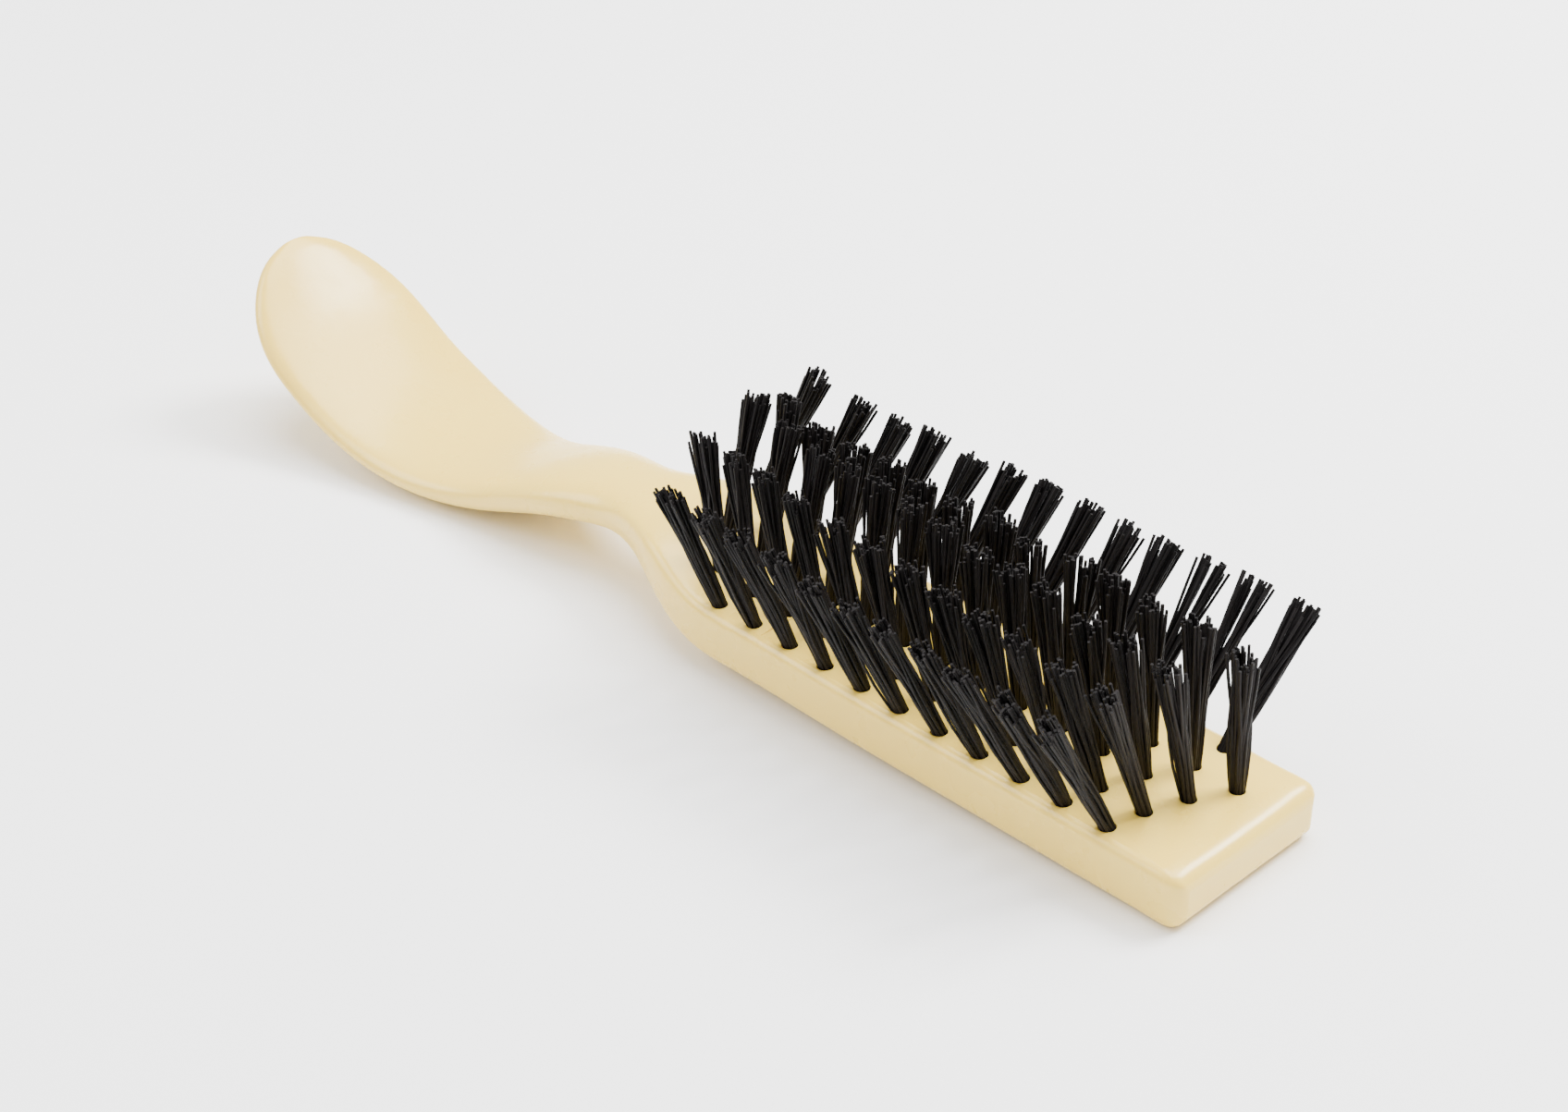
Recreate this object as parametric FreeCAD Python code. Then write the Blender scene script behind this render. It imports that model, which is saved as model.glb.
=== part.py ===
import FreeCAD, Part
import math
import os

# One-piece moulded hand brush, lying on its back with the bristles up, in mm.
# It is laid out square to the flat back of the head: +X runs to the tip of the head, the handle
# goes off towards -X, z = 0 is the back of the head, and x = 0 is the near row's last tuft.
# At the end the whole brush is turned until it lies on its handle's belly and the tip of its head.

# Head: a flat plate with round edges, skimmed exactly flat on its back and on its tufted side
TUFT_PITCH = 6.6
HEAD_TIP_X = 12.7
HEAD_THICKNESS = 7.6
HEAD_HALF_WIDTH = 13.9
HEAD_EDGE_RADIUS = 1.55
HEAD_STATIONS_X = (-54.0, -42.0, -30.0, -18.0, -6.0, 3.0, 8.0)
TIP_ROUNDING = 2.2
TIP_LEAST_EDGE_RADIUS = 0.1
TIP_ANGLES = (0, 18, 35, 50, 64, 76, 86)
CORNER_ANGLES = (0.0, 22.5, 45.0, 67.5, 90.0)
FLATS_SKIM = 0.03
FLATS_FROM_X = -57.0
FLATS_TO_X = 9.5
CUTTER_WIDTH = 40.0
CUTTER_HEIGHT = 5.0

# Handle: a waisted neck that rises, then a broad paddle that dips and curls up at its end
NECK_HALF_THICKNESS = 3.5
NECK_THICK_UNTIL_X = -105.0
PADDLE_HALF_THICKNESS = 3.0
PADDLE_THIN_FROM_X = -130.0
PADDLE_END_X = -177.9
PADDLE_END_LENGTH = 15.3
PADDLE_END_ANGLES = (88.5, 84, 77, 68, 57, 44, 30, 15)
PADDLE_END_THINNING = 0.35
HANDLE_SQUARENESS = 2.4
SQUARE_UNTIL_X = -70.0
OVAL_FROM_X = -95.0
WIDEST_HALF_WIDTH = 15.0
SECTION_STEP = 4.5
OVAL_STEPS = 400

# Along the body: x, height of the middle of the thickness, half width
STATIONS = [
    (-174.0, 15.8, 15.4),
    (-164.0, 7.4, 14.8),
    (-154.0, 2.4, 14.8),
    (-144.0, -0.5, 14.4),
    (-132.0, -1.5, 12.9),
    (-120.0, 0.5, 10.9),
    (-110.0, 4.0, 9.8),
    (-102.0, 6.1, 8.6),
    (-94.0, 7.4, 7.5),
    (-86.0, 8.1, 9.3),
    (-78.0, 6.8, 12.2),
    (-70.0, 4.3, 13.6),
    (-62.0, 3.8, 13.7),
    (-44.0, 3.8, HEAD_HALF_WIDTH),
    (-22.0, 3.8, HEAD_HALF_WIDTH),
    (0.0, 3.8, 13.8),
    (HEAD_TIP_X, 3.8, 13.7),
]

# Tufts: each is a bundle of nylon bristles, folded in two round a flat metal anchor in a blind hole
HOLE_RADIUS = 1.05
HOLE_DEPTH = 4.6
HOLE_OVERRUN = 3.0
TUFT_FIT = 0.05
TUFT_LENGTH = 20.5
TUFT_TIP_RADIUS = 1.9
TUFT_CROWN = 0.5
FOLD_HEIGHT = 0.5
SHAFT_HEIGHT = 0.4
ANCHOR_LENGTH = 1.9
ANCHOR_HEIGHT = 1.4
ANCHOR_THICKNESS = 0.4
ANCHOR_DEPTH = 3.8

# Rows from the near side to the far side: name, y, x of the tuft nearest the tip, number of tufts,
# sideways leans in degrees at the tip end and at the neck end, lengthways leans at the same two ends
ROWS = [
    ("a", -11.3, 0.0, 11, (-28.0, -18.0), (-8.0, -8.0)),
    ("b", -5.9, 1.2, 12, (-19.0, 0.0), (-8.0, -12.0)),
    ("c", -0.2, 3.3, 13, (-12.0, 12.0), (-8.0, -1.0)),
    ("d", 5.3, 6.3, 13, (-1.5, 6.0), (-4.0, 0.5)),
    ("e", 11.3, 0.2, 13, (37.0, 22.0), (3.0, 12.0)),
]
OUTER_ROW_Y = 11.3
ROW_BOW = 0.6
EDGE_MARGIN = 2.6
TUFTS_IN_A_FULL_ROW = 11
BOX_TOLERANCE = 0.05


def spline_along_x(column):
    """A smooth curve of one column of the stations, with x as its parameter."""
    curve = Part.BSplineCurve()
    points = [FreeCAD.Vector(row[0], 0, row[column]) for row in STATIONS]
    curve.interpolate(Points=points, Parameters=[row[0] for row in STATIONS])
    return curve


MID_HEIGHT = spline_along_x(1)
HALF_WIDTH = spline_along_x(2)


def blend(x, x_from, x_to, value_from, value_to):
    share = min(max((x - x_from) / (x_to - x_from), 0.0), 1.0)
    return value_from + (value_to - value_from) * share


def curve_slope(curve, x):
    x = max(x, STATIONS[0][0])
    tangent = curve.tangent(x)[0]
    return tangent.z / tangent.x


def curve_height(curve, x):
    """Value of a station curve, carried on in a straight line past its first station."""
    first = STATIONS[0][0]
    if x >= first:
        return curve.value(x).z
    return curve.value(first).z + curve_slope(curve, first) * (x - first)


def half_thickness(x):
    if x > OVAL_FROM_X:
        return blend(x, SQUARE_UNTIL_X, OVAL_FROM_X, HEAD_THICKNESS / 2, NECK_HALF_THICKNESS)
    return blend(x, NECK_THICK_UNTIL_X, PADDLE_THIN_FROM_X, NECK_HALF_THICKNESS, PADDLE_HALF_THICKNESS)


def end_rounding(x):
    """Share of the full width that is left where the paddle closes round its end."""
    share = (PADDLE_END_X + PADDLE_END_LENGTH - x) / PADDLE_END_LENGTH
    return math.sqrt(max(1 - max(share, 0.0) ** 2, 0.0))


def tip_inset(x):
    """How far the sides draw in where they round over onto the end of the head."""
    beyond = x - (HEAD_TIP_X - TIP_ROUNDING)
    if beyond <= 0:
        return 0.0
    return TIP_ROUNDING - math.sqrt(max(TIP_ROUNDING ** 2 - beyond ** 2, 0.0))


def square_quarter(width, thick, radius):
    """A quarter of a rectangle with round corners, from the middle of its side to the middle of its top."""
    flat = width - radius
    points = [(width, 0.0)]
    for angle in CORNER_ANGLES:
        turned = math.radians(angle)
        points.append((flat + radius * math.cos(turned), thick - radius + radius * math.sin(turned)))
    return points + [(flat / 2, thick), (0.0, thick)]


def shares_along(points):
    """How far along a line of points each one lies, from 0 to 1."""
    run = [0.0]
    for first, second in zip(points, points[1:]):
        run.append(run[-1] + math.dist(first, second))
    return [length / run[-1] for length in run]


def oval_quarter(width, thick, shares):
    """A quarter of a superellipse, with its points at the given shares of its length."""
    fine = []
    for step in range(OVAL_STEPS):
        angle = math.pi / 2 * step / OVAL_STEPS
        across = width * math.cos(angle) ** (2 / HANDLE_SQUARENESS)
        fine.append((across, thick * math.sin(angle) ** (2 / HANDLE_SQUARENESS)))
    fine.append((0.0, thick))
    fine_shares = shares_along(fine)
    points = []
    for share in shares[:-1]:
        points.append(next(point for point, value in zip(fine, fine_shares) if value >= share))
    return points + fine[-1:]


def whole_loop(quarter):
    """The closed loop that a quarter makes by mirroring it twice."""
    top = quarter + [(-across, up) for across, up in reversed(quarter[:-1])]
    return top + [(across, -up) for across, up in reversed(top[1:-1])]


HEAD_QUARTER = square_quarter(HEAD_HALF_WIDTH, HEAD_THICKNESS / 2, HEAD_EDGE_RADIUS)
QUARTER_SHARES = shares_along(HEAD_QUARTER)
LOOP_SHARES = shares_along(whole_loop(HEAD_QUARTER) + HEAD_QUARTER[:1])


def body_section(x):
    """Closed section square to the body's middle line: square in the head, oval in the handle."""
    slope = math.atan(curve_slope(MID_HEIGHT, x))
    middle = curve_height(MID_HEIGHT, x)
    left = end_rounding(x)
    inset = tip_inset(x)
    width = min(curve_height(HALF_WIDTH, x), WIDEST_HALF_WIDTH) * left - inset
    thick = half_thickness(x) * left ** PADDLE_END_THINNING - inset
    corner = min(max(HEAD_EDGE_RADIUS - inset, TIP_LEAST_EDGE_RADIUS), thick, width)
    square = square_quarter(width, thick, corner)
    oval = oval_quarter(width, thick, QUARTER_SHARES)
    ovalness = blend(x, SQUARE_UNTIL_X, OVAL_FROM_X, 0.0, 1.0)
    quarter = []
    for (square_across, square_up), (oval_across, oval_up) in zip(square, oval):
        across = square_across + (oval_across - square_across) * ovalness
        quarter.append((across, square_up + (oval_up - square_up) * ovalness))
    points = []
    for across, up in whole_loop(quarter):
        points.append(FreeCAD.Vector(x - up * math.sin(slope), across, middle + up * math.cos(slope)))
    curve = Part.BSplineCurve()
    curve.interpolate(Points=points, PeriodicFlag=True, Parameters=LOOP_SHARES)
    upper = curve.toShape(0.0, 0.5)
    lower = curve.toShape(0.5, 1.0)
    return Part.Wire([upper, lower])


def flat_cutter(low_height):
    """Block that skims the head flat on its back or on its tufted side."""
    low = FreeCAD.Vector(FLATS_FROM_X, -CUTTER_WIDTH / 2, low_height)
    return Part.makeBox(FLATS_TO_X - FLATS_FROM_X, CUTTER_WIDTH, CUTTER_HEIGHT, low)


def make_body():
    """Handle and head in one moulding."""
    x = PADDLE_END_X + PADDLE_END_LENGTH
    places = [x - PADDLE_END_LENGTH * math.sin(math.radians(angle)) for angle in PADDLE_END_ANGLES]
    while x < FLATS_FROM_X:
        places.append(x)
        x += SECTION_STEP
    places += HEAD_STATIONS_X
    round_start = HEAD_TIP_X - TIP_ROUNDING
    places += [round_start + TIP_ROUNDING * math.sin(math.radians(angle)) for angle in TIP_ANGLES]
    body = Part.makeLoft([body_section(x) for x in places], True, False)
    back = flat_cutter(FLATS_SKIM - CUTTER_HEIGHT)
    tufted_side = flat_cutter(HEAD_THICKNESS - FLATS_SKIM)
    return body.cut(Part.makeCompound([back, tufted_side]))


def tuft_places():
    """Row, number, foot on the surface and direction of every tuft."""
    places = []
    for row, y_row, x_first, count, sideways_leans, lengthways_leans in ROWS:
        for index in range(count):
            x = x_first - index * TUFT_PITCH
            along = index / (TUFTS_IN_A_FULL_ROW - 1)
            bow = ROW_BOW * math.sin(math.pi * min(along, 1.0)) * y_row / OUTER_ROW_Y
            limit = curve_height(HALF_WIDTH, x) - EDGE_MARGIN
            y = min(max(y_row + bow, -limit), limit)
            top = curve_height(MID_HEIGHT, x) + half_thickness(x) - FLATS_SKIM
            leans = []
            for at_tip, at_neck in (lengthways_leans, sideways_leans):
                leans.append(math.tan(math.radians(at_tip + (at_neck - at_tip) * along)))
            direction = FreeCAD.Vector(leans[0], leans[1], 1).normalize()
            places.append((row, index + 1, FreeCAD.Vector(x, y, top), direction))
    return places


def stand(shape, foot, direction):
    """Move a shape made round the Z axis so that it stands on its foot along its direction."""
    turn = FreeCAD.Rotation(FreeCAD.Vector(0, 0, 1), direction)
    moved = shape.copy()
    moved.Placement = FreeCAD.Placement(foot, turn)
    return moved


def make_hole():
    return Part.makeCylinder(HOLE_RADIUS, HOLE_DEPTH + HOLE_OVERRUN, FreeCAD.Vector(0, 0, -HOLE_DEPTH))


def make_anchor(extra):
    """Flat metal plate that the bristles are folded round, lying right across the hole."""
    size = (ANCHOR_THICKNESS + extra, ANCHOR_LENGTH + extra, ANCHOR_HEIGHT + extra)
    low = FreeCAD.Vector(-size[0] / 2, -size[1] / 2, -ANCHOR_DEPTH - extra / 2)
    return Part.makeBox(size[0], size[1], size[2], low)


def round_cap(pole, rim_radius, rim):
    """Arc from a pole on the Z axis to a rim round it, which sweeps out a part of a sphere."""
    rise = rim - pole
    radius = (rim_radius ** 2 + rise ** 2) / (2 * rise)
    half_angle = math.asin(rim_radius / abs(radius)) / 2
    middle_height = pole + radius * (1 - math.cos(half_angle))
    middle = FreeCAD.Vector(abs(radius) * math.sin(half_angle), 0, middle_height)
    return Part.Arc(FreeCAD.Vector(0, 0, pole), middle, FreeCAD.Vector(rim_radius, 0, rim)).toShape()


def make_tuft():
    """Round bundle, closely packed in its hole and opening towards its bristle ends."""
    radius = HOLE_RADIUS - TUFT_FIT
    bottom = TUFT_FIT - HOLE_DEPTH
    shaft_from = FreeCAD.Vector(radius, 0, bottom + FOLD_HEIGHT)
    shaft_to = FreeCAD.Vector(radius, 0, SHAFT_HEIGHT)
    rim = FreeCAD.Vector(TUFT_TIP_RADIUS, 0, TUFT_LENGTH - TUFT_CROWN)
    outline = [
        round_cap(bottom, radius, bottom + FOLD_HEIGHT),
        Part.LineSegment(shaft_from, shaft_to).toShape(),
        Part.LineSegment(shaft_to, rim).toShape(),
        round_cap(TUFT_LENGTH, TUFT_TIP_RADIUS, TUFT_LENGTH - TUFT_CROWN),
        Part.LineSegment(FreeCAD.Vector(0, 0, TUFT_LENGTH), FreeCAD.Vector(0, 0, bottom)).toShape(),
    ]
    face = Part.Face(Part.Wire(Part.__sortEdges__(outline)))
    bundle = face.revolve(FreeCAD.Vector(0, 0, 0), FreeCAD.Vector(0, 0, 1), 360)
    return bundle.cut(make_anchor(2 * TUFT_FIT))


places = tuft_places()
hole = make_hole()
anchor = make_anchor(0.0)
tuft = make_tuft()

holes = [stand(hole, foot, direction) for row, number, foot, direction in places]
anchors = [stand(anchor, foot, direction) for row, number, foot, direction in places]
body = make_body().cut(Part.makeCompound(holes))

nodes = {"handle": body.Solids[0], "anchors": Part.makeCompound(anchors)}
neck_tufts = []
for row, number, foot, direction in places:
    solid = stand(tuft, foot, direction)
    if number <= TUFTS_IN_A_FULL_ROW:
        nodes["tuft_%s_%02d" % (row, number)] = solid
    else:
        neck_tufts.append(solid)
nodes["neck_end_tufts"] = Part.makeCompound(neck_tufts)

# Lay the brush down: turn it about Y until the paddle's belly and the tip of the head are level,
# then put the middle of its box over the origin and its lowest point at z = 0.
belly_z, belly_x = min((middle - PADDLE_HALF_THICKNESS, x) for x, middle, width in STATIONS)
rest_angle = math.degrees(math.atan2(-belly_z, HEAD_TIP_X - TIP_ROUNDING - belly_x))
rest_turn = FreeCAD.Rotation(FreeCAD.Vector(0, 1, 0), rest_angle)
box = FreeCAD.BoundBox()
for shape in nodes.values():
    shape.Placement = FreeCAD.Placement(FreeCAD.Vector(0, 0, 0), rest_turn).multiply(shape.Placement)
    for corner in shape.tessellate(BOX_TOLERANCE)[0]:
        box.add(corner)
shift = FreeCAD.Vector(-box.Center.x, -box.Center.y, -box.ZMin)
back_middle = FreeCAD.Vector((FLATS_FROM_X + FLATS_TO_X) / 2, 0, FLATS_SKIM)
print("rest angle", round(rest_angle, 4), "shift", shift, "box", box)
print("middle of the flat back", rest_turn.multVec(back_middle) + shift)
print("outward normal of the flat back", rest_turn.multVec(FreeCAD.Vector(0, 0, -1)))

os.makedirs("parts", exist_ok=True)
for name, shape in nodes.items():
    shape.Placement = FreeCAD.Placement(shift, FreeCAD.Rotation()).multiply(shape.Placement)
    shape.exportStep("parts/%s.step" % name)
    if not shape.isValid():
        print(name, "is not valid")
print(len(nodes), "nodes, handle volume", round(nodes["handle"].Volume), "mm3")
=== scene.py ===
import math
import bmesh
import bpy
import numpy as np
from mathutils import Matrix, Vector


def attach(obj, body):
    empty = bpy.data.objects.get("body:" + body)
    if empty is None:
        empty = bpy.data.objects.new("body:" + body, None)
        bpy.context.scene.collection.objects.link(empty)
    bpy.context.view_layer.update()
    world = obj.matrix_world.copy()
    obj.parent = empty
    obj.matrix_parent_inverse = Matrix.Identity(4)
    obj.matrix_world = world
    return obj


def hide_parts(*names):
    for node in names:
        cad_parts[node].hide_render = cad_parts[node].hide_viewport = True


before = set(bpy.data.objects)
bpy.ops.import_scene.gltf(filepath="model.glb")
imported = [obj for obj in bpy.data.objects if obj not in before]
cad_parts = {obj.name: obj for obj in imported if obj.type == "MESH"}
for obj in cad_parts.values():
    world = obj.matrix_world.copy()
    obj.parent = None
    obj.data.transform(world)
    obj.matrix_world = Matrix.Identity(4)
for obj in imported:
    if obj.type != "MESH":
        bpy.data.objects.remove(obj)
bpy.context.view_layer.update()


# Body: the paddle handle, the waisted neck and the flat head come out of one mould, in ivory plastic.
# The mould is polished steel, so the plastic is glossy, with faint flow marks in its colour and a slight
# ripple in its gloss, and a little light goes into it.
IVORY = (0.86, 0.60, 0.105, 1.0)
IVORY_FLOW = (0.835, 0.572, 0.09, 1.0)
FLOW_SCALE = 28.0
IVORY_GLOSS = (0.24, 0.34)
GLOSS_SCALE = 160.0
RIPPLE_SCALE = 420.0
RIPPLE_HEIGHT = 0.00003
IVORY_GLOW = 0.12
IVORY_GLOW_COLOURS = (1.0, 0.75, 0.45)
IVORY_GLOW_DEPTH = 0.002
IVORY_SKIN = 0.10
IVORY_SKIN_ROUGHNESS = 0.12


def noise(tree, place, scale, detail):
    """A noise texture on the piece's own coordinates."""
    node = tree.nodes.new("ShaderNodeTexNoise")
    node.inputs["Scale"].default_value = scale
    node.inputs["Detail"].default_value = detail
    node.inputs["Roughness"].default_value = 0.5
    tree.links.new(place, node.inputs["Vector"])
    return node.outputs["Fac"]


def spread_over(tree, value, low, high, to_low, to_high):
    """Map a value from one range onto another."""
    node = tree.nodes.new("ShaderNodeMapRange")
    node.inputs["From Min"].default_value = low
    node.inputs["From Max"].default_value = high
    node.inputs["To Min"].default_value = to_low
    node.inputs["To Max"].default_value = to_high
    tree.links.new(value, node.inputs["Value"])
    return node.outputs["Result"]


def mix_colours(tree, share, first, second):
    """Go from the first colour to the second. The colour sockets of a Mix node are found by number."""
    node = tree.nodes.new("ShaderNodeMix")
    node.data_type = "RGBA"
    node.inputs[6].default_value = first
    node.inputs[7].default_value = second
    tree.links.new(share, node.inputs[0])
    return node.outputs[2]


def bump(tree, height, distance):
    """Raise the surface by a height map, at full strength."""
    node = tree.nodes.new("ShaderNodeBump")
    node.inputs["Distance"].default_value = distance
    node.inputs["Strength"].default_value = 1.0
    tree.links.new(height, node.inputs["Height"])
    return node.outputs["Normal"]


def new_material(name):
    """An empty node material: its tree, its shader and the piece's own coordinates."""
    material = bpy.data.materials.new(name)
    material.use_nodes = True
    tree = material.node_tree
    shader = tree.nodes["Principled BSDF"]
    place = tree.nodes.new("ShaderNodeTexCoord").outputs["Object"]
    return material, tree, shader, place


ivory, tree, shader, place = new_material("ivory_moulded_plastic")
flow = spread_over(tree, noise(tree, place, FLOW_SCALE, 3.0), 0.35, 0.7, 0.0, 1.0)
tree.links.new(mix_colours(tree, flow, IVORY, IVORY_FLOW), shader.inputs["Base Color"])
gloss = spread_over(tree, noise(tree, place, GLOSS_SCALE, 4.0), 0.3, 0.7, *IVORY_GLOSS)
tree.links.new(gloss, shader.inputs["Roughness"])
ripple = bump(tree, noise(tree, place, RIPPLE_SCALE, 2.0), RIPPLE_HEIGHT)
tree.links.new(ripple, shader.inputs["Normal"])
shader.inputs["Subsurface Weight"].default_value = IVORY_GLOW
shader.inputs["Subsurface Radius"].default_value = IVORY_GLOW_COLOURS
shader.inputs["Subsurface Scale"].default_value = IVORY_GLOW_DEPTH
shader.inputs["Coat Weight"].default_value = IVORY_SKIN
shader.inputs["Coat Roughness"].default_value = IVORY_SKIN_ROUGHNESS

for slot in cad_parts["handle"].material_slots:
    slot.material = ivory


# Anchors: a short piece of flat steel wire for each tuft, cut and punched into the hole with the fold
# of the bristles under it. They lie at the bottom of the holes, and only the shear marks are bright.
STEEL = (0.56, 0.56, 0.55, 1.0)
STEEL_DULL = (0.36, 0.35, 0.34, 1.0)
STEEL_GLOSS = (0.3, 0.5)
DRAW_MARK_SCALE = 2400.0

steel, tree, shader, place = new_material("cut_anchor_wire")
drawn = noise(tree, place, DRAW_MARK_SCALE, 3.0)
tree.links.new(mix_colours(tree, drawn, STEEL, STEEL_DULL), shader.inputs["Base Color"])
tree.links.new(spread_over(tree, drawn, 0.3, 0.7, *STEEL_GLOSS), shader.inputs["Roughness"])
shader.inputs["Metallic"].default_value = 1.0

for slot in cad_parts["anchors"].material_slots:
    slot.material = steel


# Bristles: black nylon monofilament, folded in two round the anchor, so that each tuft leaves its hole
# as a tight round bundle and opens in two halves. The cut ends are uneven, and no bristle is quite
# straight.
BRISTLES_IN_A_TUFT = 42
BRISTLE_THICKNESS = 0.00040
TUFT_FOOT_DEPTH = 0.00455
FOOT_RADIUS = 0.00080
START_BELOW = 0.0012
TIP_SPREAD = 0.00056
HALVES_APART = 0.00056
TIP_STRAY = 0.0004
END_UNEVENNESS = 0.10
MOSTLY_UNCUT = 1.6
OPENS_LATE = 1.35
WAVER = 0.00035
WAVES = 0.75
POINTS_ALONG = 7
BRISTLE_SIDES = 6
TUFT_NUDGE = 0.03
ANCHOR_TURN = 0.5
SHORTEST_TUFT = 0.96
NYLON = (0.0040, 0.0034, 0.0036, 1.0)
NYLON_WORN = (0.013, 0.011, 0.011, 1.0)
NYLON_GLOSS = (0.48, 0.62)
NYLON_SHINE = 0.13
STREAK_SCALE = 900.0

nylon, tree, shader, place = new_material("black_nylon_bristle")
tone = tree.nodes.new("ShaderNodeAttribute")
tone.attribute_name = "tone"
streak = noise(tree, place, STREAK_SCALE, 2.0)
both = tree.nodes.new("ShaderNodeMath")
both.operation = "MULTIPLY"
tree.links.new(tone.outputs["Fac"], both.inputs[0])
tree.links.new(streak, both.inputs[1])
share = spread_over(tree, both.outputs["Value"], 0.0, 0.6, 0.0, 1.0)
tree.links.new(mix_colours(tree, share, NYLON, NYLON_WORN), shader.inputs["Base Color"])
tree.links.new(spread_over(tree, streak, 0.3, 0.7, *NYLON_GLOSS), shader.inputs["Roughness"])
shader.inputs["Specular IOR Level"].default_value = NYLON_SHINE


MERGE_DISTANCE = 1e-6
TUFT_CAP = 0.0006


def separate_solids(node):
    """The points of each separate solid in a CAD node."""
    work = bmesh.new()
    work.from_mesh(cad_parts[node].data)
    bmesh.ops.remove_doubles(work, verts=work.verts, dist=MERGE_DISTANCE)
    seen = set()
    solids = []
    for first in work.verts:
        if first in seen:
            continue
        seen.add(first)
        solid = [first]
        for vert in solid:
            for edge in vert.link_edges:
                other = edge.other_vert(vert)
                if other not in seen:
                    seen.add(other)
                    solid.append(other)
        solids.append(np.array([vert.co for vert in solid]))
    work.free()
    return solids


def line_of_tuft(points):
    """Foot of a tuft, where it leaves its hole, its direction, and its length above the foot."""
    middle = (points.max(0) + points.min(0)) / 2
    direction = np.linalg.svd(points - points.mean(0))[2][0]
    direction = direction * np.sign(direction[2])
    reach = (points - middle) @ direction
    top = points[reach > reach.max() - TUFT_CAP].mean(0)
    bottom = points[reach < reach.min() + TUFT_CAP].mean(0)
    direction = (top - bottom) / np.linalg.norm(top - bottom)
    reach = (points - bottom) @ direction
    lowest = bottom + direction * reach.min()
    foot = lowest + direction * TUFT_FOOT_DEPTH
    return foot, direction, reach.max() - reach.min() - TUFT_FOOT_DEPTH


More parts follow.
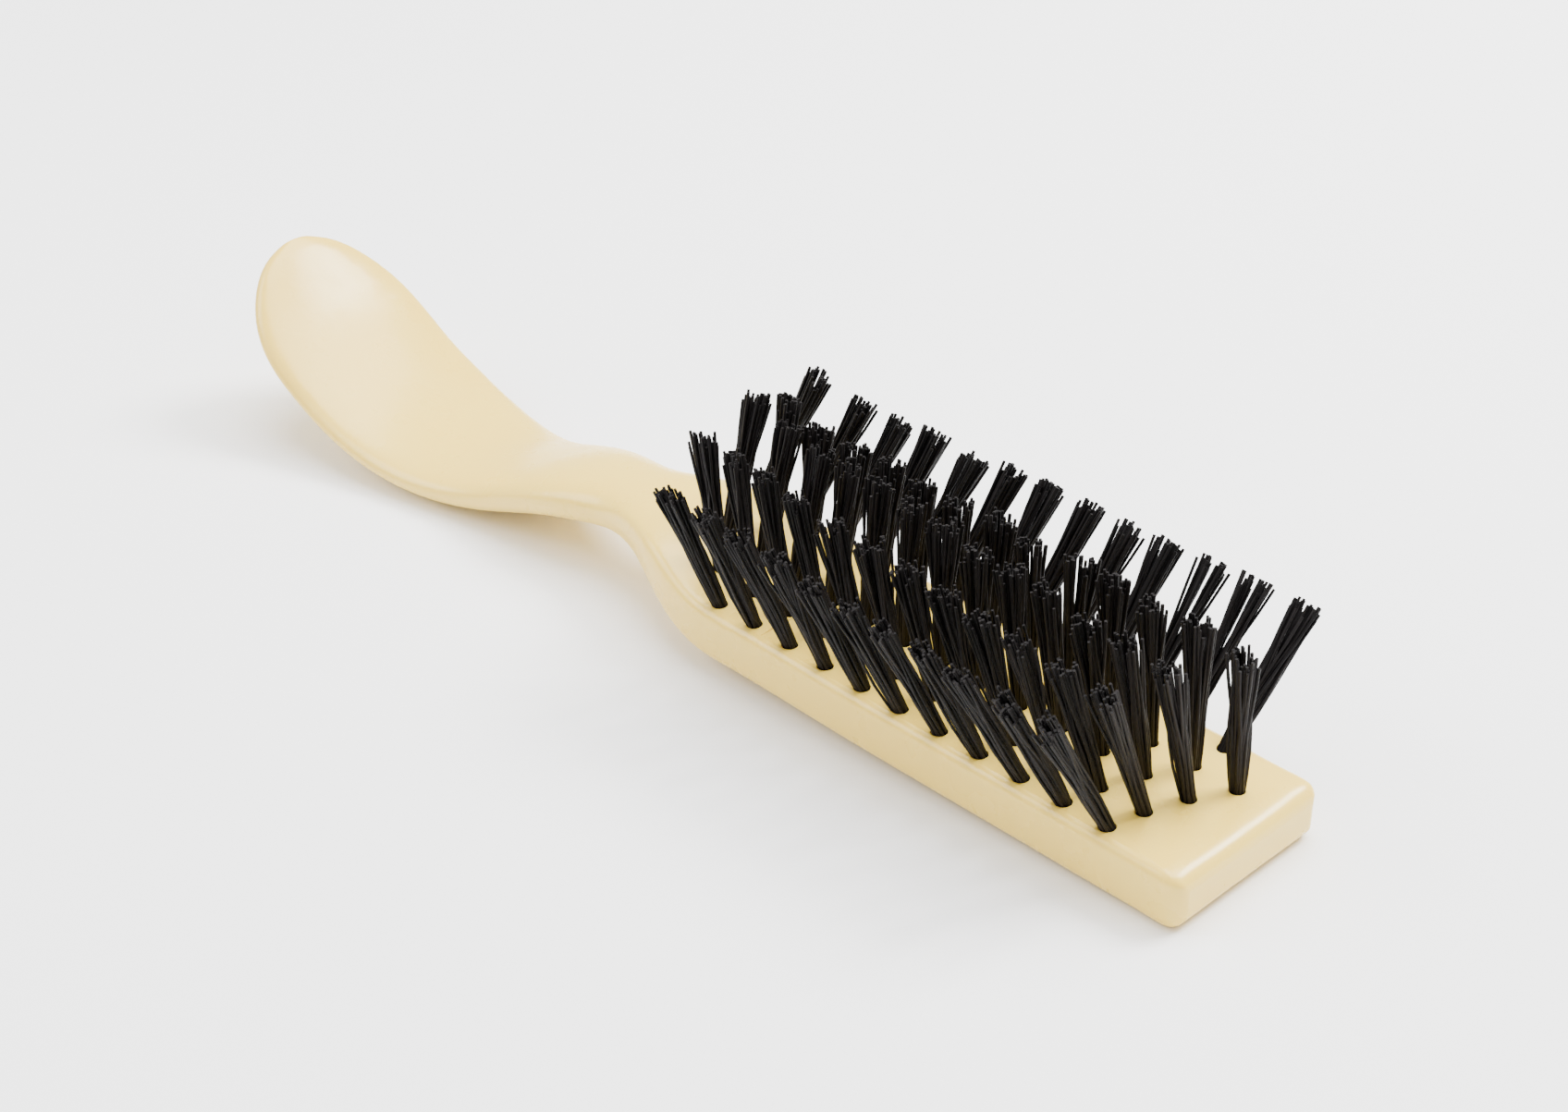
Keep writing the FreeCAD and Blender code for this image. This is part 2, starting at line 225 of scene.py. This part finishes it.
def bristle_tree():
    """Geometry nodes that grow one tuft on every point that they are given."""
    nodes = bpy.data.node_groups.new("tufts_of_bristles", "GeometryNodeTree")
    sockets = nodes.interface
    sockets.new_socket("Feet", in_out="INPUT", socket_type="NodeSocketGeometry")
    for name in ("Bristles in a tuft", "Seed"):
        sockets.new_socket(name, in_out="INPUT", socket_type="NodeSocketInt")
    for name in ("Thickness", "Foot radius", "Start below", "Tip spread", "Halves apart",
                 "Tip stray", "Unevenness", "Waver"):
        sockets.new_socket(name, in_out="INPUT", socket_type="NodeSocketFloat")
    sockets.new_socket("Material", in_out="INPUT", socket_type="NodeSocketMaterial")
    sockets.new_socket("Bristles", in_out="OUTPUT", socket_type="NodeSocketGeometry")
    given = nodes.nodes.new("NodeGroupInput").outputs
    result = nodes.nodes.new("NodeGroupOutput").inputs["Bristles"]

    def link(value, socket):
        if isinstance(value, bpy.types.NodeSocket):
            nodes.links.new(value, socket)
        else:
            socket.default_value = value

    def add(kind, **settings):
        node = nodes.nodes.new(kind)
        for key in settings:
            setattr(node, key, settings[key])
        return node

    def calc(operation, first, second=0.0):
        node = add("ShaderNodeMath", operation=operation)
        link(first, node.inputs[0])
        link(second, node.inputs[1])
        return node.outputs["Value"]

    def times(vector, factor):
        node = add("ShaderNodeVectorMath", operation="SCALE")
        link(vector, node.inputs["Vector"])
        link(factor, node.inputs["Scale"])
        return node.outputs["Vector"]

    def plus(first, second):
        node = add("ShaderNodeVectorMath", operation="ADD")
        link(first, node.inputs[0])
        link(second, node.inputs[1])
        return node.outputs["Vector"]

    def chance(low, high, salt):
        """A random number for each bristle. The node's sockets for floats are found by number."""
        node = add("FunctionNodeRandomValue", data_type="FLOAT")
        link(low, node.inputs[2])
        link(high, node.inputs[3])
        link(calc("ADD", given["Seed"], salt), node.inputs["Seed"])
        return node.outputs[1]

    def either_way(size, salt):
        return chance(calc("MULTIPLY", size, -1.0), size, salt)

    def stored(name, kind):
        node = add("GeometryNodeInputNamedAttribute", data_type=kind)
        node.inputs["Name"].default_value = name
        return node.outputs["Attribute"]

    def store(geometry, name, kind, value):
        node = add("GeometryNodeStoreNamedAttribute", data_type=kind, domain="POINT")
        link(geometry, node.inputs["Geometry"])
        node.inputs["Name"].default_value = name
        link(value, node.inputs["Value"])
        return node.outputs["Geometry"]

    # One point for each bristle, laid out like seeds in the round hole
    copies = add("GeometryNodeDuplicateElements", domain="POINT")
    link(given["Feet"], copies.inputs["Geometry"])
    link(given["Bristles in a tuft"], copies.inputs["Amount"])
    number = copies.outputs["Duplicate Index"]
    golden_angle = math.pi * (3.0 - math.sqrt(5.0))
    ring = calc("SQRT", calc("DIVIDE", calc("ADD", number, 0.5), given["Bristles in a tuft"]))
    turn = calc("ADD", calc("MULTIPLY", number, golden_angle), stored("turn", "FLOAT"))
    along = calc("MULTIPLY", ring, calc("COSINE", turn))
    across = calc("MULTIPLY", ring, calc("SINE", turn))
    half = calc("SIGN", along)
    aim = stored("aim", "FLOAT_VECTOR")
    split = stored("split", "FLOAT_VECTOR")
    beside = stored("beside", "FLOAT_VECTOR")
    foot_along = times(split, calc("MULTIPLY", along, given["Foot radius"]))
    foot_across = times(beside, calc("MULTIPLY", across, given["Foot radius"]))
    below = times(aim, calc("MULTIPLY", given["Start below"], -1.0))
    position = add("GeometryNodeInputPosition").outputs["Position"]
    start = plus(plus(position, below), plus(foot_along, foot_across))
    cut_off = calc("MULTIPLY", calc("POWER", chance(0.0, 1.0, 1), MOSTLY_UNCUT), given["Unevenness"])
    left = calc("SUBTRACT", 1.0, cut_off)
    reach = calc("ADD", calc("MULTIPLY", stored("tall", "FLOAT"), left), given["Start below"])
    tip_along = calc("MULTIPLY", along, given["Tip spread"])
    tip_along = calc("ADD", tip_along, calc("MULTIPLY", half, given["Halves apart"]))
    tip_along = calc("ADD", tip_along, either_way(given["Tip stray"], 2))
    tip_across = calc("MULTIPLY", across, given["Tip spread"])
    tip_across = calc("ADD", tip_across, either_way(given["Tip stray"], 3))
    open_out = plus(times(split, tip_along), times(beside, tip_across))
    waver_along = times(split, either_way(given["Waver"], 4))
    waver = plus(waver_along, times(beside, either_way(given["Waver"], 5)))
    points = store(copies.outputs["Geometry"], "start", "FLOAT_VECTOR", start)
    points = store(points, "rise", "FLOAT_VECTOR", times(aim, reach))
    points = store(points, "open_out", "FLOAT_VECTOR", open_out)
    points = store(points, "waver", "FLOAT_VECTOR", waver)
    points = store(points, "tone", "FLOAT", chance(0.0, 1.0, 6))

    # A straight length of filament on each point, then bent to its own line
    line = add("GeometryNodeCurvePrimitiveLine")
    pieces = add("GeometryNodeResampleCurve")
    link(line.outputs["Curve"], pieces.inputs["Curve"])
    link(POINTS_ALONG, pieces.inputs["Count"])
    instances = add("GeometryNodeInstanceOnPoints")
    link(points, instances.inputs["Points"])
    link(pieces.outputs["Curve"], instances.inputs["Instance"])
    lines = add("GeometryNodeRealizeInstances")
    link(instances.outputs["Instances"], lines.inputs["Geometry"])
    share = add("GeometryNodeSplineParameter").outputs["Factor"]
    straight = plus(stored("start", "FLOAT_VECTOR"), times(stored("rise", "FLOAT_VECTOR"), share))
    opened = times(stored("open_out", "FLOAT_VECTOR"), calc("POWER", share, OPENS_LATE))
    wave = calc("SINE", calc("MULTIPLY", share, WAVES * 2 * math.pi))
    bent = plus(straight, plus(opened, times(stored("waver", "FLOAT_VECTOR"), wave)))
    placed = add("GeometryNodeSetPosition")
    link(lines.outputs["Geometry"], placed.inputs["Geometry"])
    link(bent, placed.inputs["Position"])

    # Round filament, cut square
    round_edge = add("GeometryNodeCurvePrimitiveCircle")
    link(BRISTLE_SIDES, round_edge.inputs["Resolution"])
    link(calc("DIVIDE", given["Thickness"], 2.0), round_edge.inputs["Radius"])
    swept = add("GeometryNodeCurveToMesh")
    link(placed.outputs["Geometry"], swept.inputs["Curve"])
    link(round_edge.outputs["Curve"], swept.inputs["Profile Curve"])
    link(True, swept.inputs["Fill Caps"])
    smooth = add("GeometryNodeSetShadeSmooth")
    link(swept.outputs["Mesh"], smooth.inputs["Geometry"])
    real = add("GeometryNodeRealizeInstances")
    link(smooth.outputs["Geometry"], real.inputs["Geometry"])
    coloured = add("GeometryNodeSetMaterial")
    link(real.outputs["Geometry"], coloured.inputs["Geometry"])
    link(given["Material"], coloured.inputs["Material"])
    link(coloured.outputs["Geometry"], result)
    return nodes


BRISTLE_NODES = bristle_tree()
BRISTLE_INPUTS = {
    "Bristles in a tuft": BRISTLES_IN_A_TUFT,
    "Thickness": BRISTLE_THICKNESS,
    "Foot radius": FOOT_RADIUS,
    "Start below": START_BELOW,
    "Tip spread": TIP_SPREAD,
    "Halves apart": HALVES_APART,
    "Tip stray": TIP_STRAY,
    "Unevenness": END_UNEVENNESS,
    "Waver": WAVER,
    "Material": nylon,
}


def grow_bristles(name, cad_nodes, seed):
    """All the bristles of some CAD tufts, as one plain mesh."""
    tufts = [line_of_tuft(solid) for node in cad_nodes for solid in separate_solids(node)]
    tufts.sort(key=lambda tuft: tuft[0][0])
    draw = np.random.default_rng(seed)
    mesh = bpy.data.meshes.new(name)
    mesh.from_pydata([tuple(foot) for foot, aim, tall in tufts], [], [])
    for key, kind in (("aim", "FLOAT_VECTOR"), ("split", "FLOAT_VECTOR"), ("beside", "FLOAT_VECTOR"),
                      ("turn", "FLOAT"), ("tall", "FLOAT")):
        mesh.attributes.new(key, kind, "POINT")
    for index, (foot, aim, tall) in enumerate(tufts):
        nudge = draw.uniform(-TUFT_NUDGE, TUFT_NUDGE, 2)
        aim = Vector(aim) + Vector((nudge[0], nudge[1], 0.0))
        aim.normalize()
        anchor_turn = draw.uniform(-ANCHOR_TURN, ANCHOR_TURN)
        split = Vector((math.cos(anchor_turn), math.sin(anchor_turn), 0.0))
        beside = aim.cross(split).normalized()
        split = beside.cross(aim)
        mesh.attributes["aim"].data[index].vector = aim
        mesh.attributes["split"].data[index].vector = split
        mesh.attributes["beside"].data[index].vector = beside
        mesh.attributes["turn"].data[index].value = draw.uniform(0.0, 2 * math.pi)
        mesh.attributes["tall"].data[index].value = tall * draw.uniform(SHORTEST_TUFT, 1.0)
    piece = bpy.data.objects.new(name, mesh)
    bpy.context.scene.collection.objects.link(piece)
    grower = piece.modifiers.new("grow", "NODES")
    grower.node_group = BRISTLE_NODES
    for item in BRISTLE_NODES.interface.items_tree:
        if item.in_out == "INPUT" and item.name in BRISTLE_INPUTS:
            grower[item.identifier] = BRISTLE_INPUTS[item.name]
        elif item.in_out == "INPUT" and item.name == "Seed":
            grower[item.identifier] = seed
    evaluated = piece.evaluated_get(bpy.context.evaluated_depsgraph_get())
    grown = bpy.data.meshes.new_from_object(evaluated)
    piece.modifiers.remove(grower)
    piece.data = grown
    grown.name = name
    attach(piece, "root")
    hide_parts(*cad_nodes)


ROW_SEEDS = {"a": 11, "b": 12, "c": 13, "d": 14, "e": 15}
NECK_END_SEED = 16

for row, seed in ROW_SEEDS.items():
    row_nodes = sorted(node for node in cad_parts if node.startswith("tuft_" + row + "_"))
    grow_bristles("bristles_row_" + row, row_nodes, seed)
grow_bristles("bristles_neck_end", ["neck_end_tufts"], NECK_END_SEED)


# Studio: a pale floor that the brush lies on, a small soft light behind it, a large one overhead, a weak
# one at its near left side, and a bright room all round.
FLOOR_HALF = 3.0
FLOOR_COLOUR = (0.93, 0.93, 0.93, 1.0)
FLOOR_MOTTLE = (0.90, 0.90, 0.90, 1.0)
FLOOR_MOTTLE_SCALE = 3.0
FLOOR_ROUGHNESS = 0.9
ROOM_BRIGHTNESS = 1.05

floor_mesh = bpy.data.meshes.new("studio_floor")
signs = ((-1, -1), (1, -1), (1, 1), (-1, 1))
corners = [(FLOOR_HALF * x_sign, FLOOR_HALF * y_sign, 0) for x_sign, y_sign in signs]
floor_mesh.from_pydata(corners, [], [(0, 1, 2, 3)])
floor = bpy.data.objects.new("studio_floor", floor_mesh)
bpy.context.scene.collection.objects.link(floor)
paper, tree, shader, place = new_material("studio_paper")
mottle = noise(tree, place, FLOOR_MOTTLE_SCALE, 2.0)
tree.links.new(mix_colours(tree, mottle, FLOOR_COLOUR, FLOOR_MOTTLE), shader.inputs["Base Color"])
shader.inputs["Roughness"].default_value = FLOOR_ROUGHNESS
floor_mesh.materials.append(paper)


def soft_light(name, at, towards, size, watts):
    """A white disc-shaped light that faces a point."""
    lamp = bpy.data.lights.new(name, "AREA")
    lamp.shape = "DISK"
    lamp.size = size
    lamp.energy = watts
    light = bpy.data.objects.new(name, lamp)
    bpy.context.scene.collection.objects.link(light)
    light.location = at
    light.rotation_euler = (Vector(towards) - Vector(at)).to_track_quat("-Z", "Y").to_euler()


soft_light("key_behind", at=(0.28, 0.60, 0.76), towards=(-0.03, 0.0, 0.02), size=0.45, watts=20.0)
soft_light("overhead", at=(-0.10, 0.25, 1.20), towards=(0.0, 0.0, 0.0), size=1.1, watts=32.0)
soft_light("fill_left", at=(-0.62, -0.52, 0.66), towards=(0.03, 0.0, 0.02), size=0.6, watts=7.0)

world = bpy.data.worlds.new("bright_room")
bpy.context.scene.world = world
world.use_nodes = True
background = world.node_tree.nodes["Background"]
background.inputs["Color"].default_value = (1.0, 1.0, 1.0, 1.0)
background.inputs["Strength"].default_value = ROOM_BRIGHTNESS


# Camera: a short telephoto view from above the near side, with the tip of the head nearest.
CAMERA_PLACE = (0.22599, -0.19879, 0.18246)
CAMERA_TURN = (59.465, 1.256, 45.771)
CAMERA_LENS = 56.99
CAMERA_SENSOR = 36.0
NEAREST_SEEN = 0.01

lens = bpy.data.cameras.new("camera")
lens.lens = CAMERA_LENS
lens.sensor_width = CAMERA_SENSOR
lens.clip_start = NEAREST_SEEN
camera = bpy.data.objects.new("camera", lens)
camera.location = CAMERA_PLACE
camera.rotation_euler = [math.radians(angle) for angle in CAMERA_TURN]
bpy.context.scene.collection.objects.link(camera)
bpy.context.scene.camera = camera
